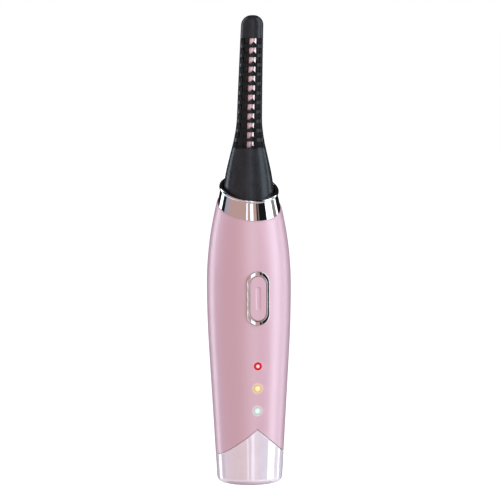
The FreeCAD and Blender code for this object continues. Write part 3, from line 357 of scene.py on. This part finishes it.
def chrome(name):
    """Polished plating with the faintest orange peel."""
    material, tree, shader = new_material(name, (0.9, 0.9, 0.9, 1), 0.04, 1.0)
    vary_roughness(tree, shader, noise(tree, 1.2 * MM), 0.03, 0.06)
    add_bump(tree, shader, noise(tree, 2 * MM), 0.0005 * MM)
    return material


def comb_plastic():
    """Moulded charcoal plastic with a fine satin grain, and painted shade on the front of the slot stretch.
    """
    material, tree, shader = new_material("comb_black", rgb(50, 52, 55), 0.22)
    split = tree.nodes.new("ShaderNodeSeparateXYZ")
    tree.links.new(place_in(tree), split.inputs[0])
    low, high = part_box("comb_sleeve")
    slots_foot = low.z + SLOTS_ABOVE_FOOT
    slots_top = high.z - SLOTS_BELOW_TIP
    # The mask of the painted shade: the slot stretch, on its front only.
    above = map_range(tree, split.outputs["Z"], slots_foot - SLOT_SHADE_FADE, slots_foot)
    below = map_range(tree, split.outputs["Z"], slots_top, slots_top + SLOT_SHADE_FADE, 1.0, 0.0)
    slot_shade = math_node(tree, "MULTIPLY", above, below)
    raised = math_node(tree, "SUBTRACT", split.outputs["Z"], slots_foot)
    leaning = math_node(tree, "MULTIPLY", raised, SLOT_SHADE_LEAN)
    forward = math_node(tree, "ADD", split.outputs["Y"], leaning)
    front = map_range(tree, forward, SLOT_SHADE_BACK - SLOT_SHADE_FRONT_FADE, SLOT_SHADE_BACK, 1.0, 0.0)
    slot_shade = math_node(tree, "MULTIPLY", slot_shade, front)
    grain = map_range(tree, noise(tree, 1.5 * MM), NOISE_LOW, NOISE_HIGH)
    body = mix_colour(tree, grain, rgb(38, 39, 42), rgb(45, 46, 49))
    # Painted shade: this darker colour on the front of the slot stretch stands for the shade inside the
    # slots.
    dark = mix_colour(tree, grain, rgb(18, 21, 21), rgb(24, 27, 27))
    tree.links.new(mix_colour(tree, slot_shade, body, dark), shader.inputs["Base Color"])
    vary_roughness(tree, shader, noise(tree, 0.6 * MM, 4), 0.22, 0.28)
    shader.inputs["Specular Tint"].default_value = (0.82, 0.95, 1.0, 1)
    shader.inputs["Specular IOR Level"].default_value = 0.32
    add_bump(tree, shader, noise(tree, 0.08 * MM), 0.001 * MM)
    return material


def moulded(name, colour, darker, roughness):
    """Plain moulded plastic: slight clouding, satin, with a fine grain."""
    material, tree, shader = new_material(name, colour, roughness)
    vary_colour(tree, shader, noise(tree, 1 * MM), darker, colour)
    vary_roughness(tree, shader, noise(tree, 0.5 * MM), roughness - 0.04, roughness + 0.04)
    add_bump(tree, shader, noise(tree, 0.1 * MM), 0.001 * MM)
    return material


def drawn_metal(name, colour, darker, roughness):
    """Sheet metal with fine lines along the pen."""
    material, tree, shader = new_material(name, colour, roughness, 1.0)
    lines = noise(tree, 0.05 * MM, 2, (1, 1, 40))
    vary_colour(tree, shader, noise(tree, 1 * MM), darker, colour)
    vary_roughness(tree, shader, lines, roughness - 0.05, roughness + 0.05)
    add_bump(tree, shader, lines, 0.0006 * MM)
    return material


def lit_window(node):
    """A clear tinted light guide that glows: nearly white in the middle, its own colour round that."""
    middle, colour, middle_radius = LIGHTS[node]
    dull = tuple(part * UNLIT_SHARE for part in colour[:3]) + (1,)
    material, tree, shader = new_material(node, dull, 0.15)
    vary_roughness(tree, shader, noise(tree, 0.5 * MM), 0.12, 0.18)
    away = from_light(tree, node)
    rim = map_range(tree, away, middle_radius * 0.6, middle_radius * 1.4)
    edge = map_range(tree, away, LIGHT_RADIUS * 0.6, LIGHT_RADIUS, 1.0, RIM_GLOW)
    glow = mix_colour(tree, rim, middle, colour)
    tree.links.new(glow, shader.inputs["Emission Color"])
    tree.links.new(math_node(tree, "MULTIPLY", edge, WINDOW_GLOW), shader.inputs["Emission Strength"])
    return material


def rose_gold():
    """Polished rose-gold metal, drawn along its length."""
    material, tree, shader = new_material("rose_gold", rgb(250, 222, 226), 0.24, 0.5)
    lines = noise(tree, 0.04 * MM, 2, (1, 1, 30))
    vary_colour(tree, shader, noise(tree, 2 * MM), rgb(248, 216, 221), rgb(252, 226, 230))
    vary_roughness(tree, shader, lines, 0.2, 0.28)
    add_bump(tree, shader, lines, 0.0006 * MM)
    return material


def make_materials():
    plating = chrome("chrome_plating")
    dark = moulded("carrier_black", rgb(34, 34, 36), rgb(28, 28, 30), 0.4)
    pale = moulded("switch_white", rgb(226, 226, 222), rgb(214, 214, 210), 0.4)
    board = moulded("board_green", rgb(22, 96, 56), rgb(16, 84, 48), 0.3)
    chip = moulded("chip_black", rgb(32, 32, 34), rgb(26, 26, 28), 0.5)
    steel = drawn_metal("port_steel", rgb(196, 196, 200), rgb(180, 180, 184), 0.25)
    nickel = drawn_metal("nickel", rgb(206, 200, 190), rgb(192, 186, 176), 0.3)
    red_lead = moulded("lead_red", rgb(190, 30, 30), rgb(170, 24, 24), 0.45)
    comb = comb_plastic()
    return {
        "body_shell": pearl_paint("pearl_pink", share=0.4),
        "base_cap": pink_plating(),
        "collar": plating,
        "button_bezel": plating,
        "button_cap": pearl_paint("button_pink"),
        "comb_skirt": comb,
        "comb_sleeve": comb,
        "heater_strip": rose_gold(),
        "heater_carrier": dark,
        "head_seat": dark,
        "ceramic_heater": moulded("ceramic_white", rgb(232, 232, 226), rgb(222, 222, 214), 0.6),
        "temperature_sensor": moulded("sensor_glass", rgb(190, 130, 70), rgb(170, 110, 56), 0.1),
        "switch_housing": dark,
        "switch_plunger": pale,
        **{node: lit_window(node) for node in LIGHTS},
        "light_chip_red": pale,
        "light_chip_yellow": pale,
        "light_chip_green": pale,
        "main_board": board,
        "port_board": board,
        "board_screws": drawn_metal("screw_steel", rgb(190, 190, 194), rgb(170, 170, 174), 0.3),
        "capacitors": moulded("capacitor_tan", rgb(176, 146, 104), rgb(160, 130, 90), 0.5),
        "chassis": moulded("chassis_grey", rgb(186, 186, 188), rgb(176, 176, 178), 0.5),
        "battery_cell": moulded("cell_wrap", rgb(50, 92, 176), rgb(42, 82, 162), 0.25),
        "controller_chip": chip,
        "charger_chip": chip,
        "heater_transistor": chip,
        "battery_tab_top": nickel,
        "battery_tab_low": nickel,
        "port_shell": steel,
        "port_tongue": chip,
        "heater_leads": moulded("lead_white", rgb(230, 230, 228), rgb(216, 216, 214), 0.5),
        "sensor_leads": moulded("lead_yellow", rgb(214, 176, 50), rgb(198, 160, 40), 0.4),
        "port_leads": red_lead,
        "battery_lead_red": red_lead,
        "battery_lead_black": moulded("lead_black", rgb(30, 30, 32), rgb(24, 24, 26), 0.45),
    }


def dress(nodes):
    """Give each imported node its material."""
    for name, material in make_materials().items():
        slots = nodes[name].data.materials
        slots.clear()
        slots.append(material)


bpy.context.scene.view_settings.view_transform = "Standard"
make_camera()
make_world()
make_floor()
soft_light("front_fill", azimuth=10, elevation=25, size=1.0, power=5)
soft_light("left_fill", azimuth=-105, elevation=10, size=0.6, power=10, colour=LAVENDER_LIGHT)
soft_light("right_fill", azimuth=55, elevation=15, size=0.5, power=6.5, colour=LAVENDER_LIGHT)
dress(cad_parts)
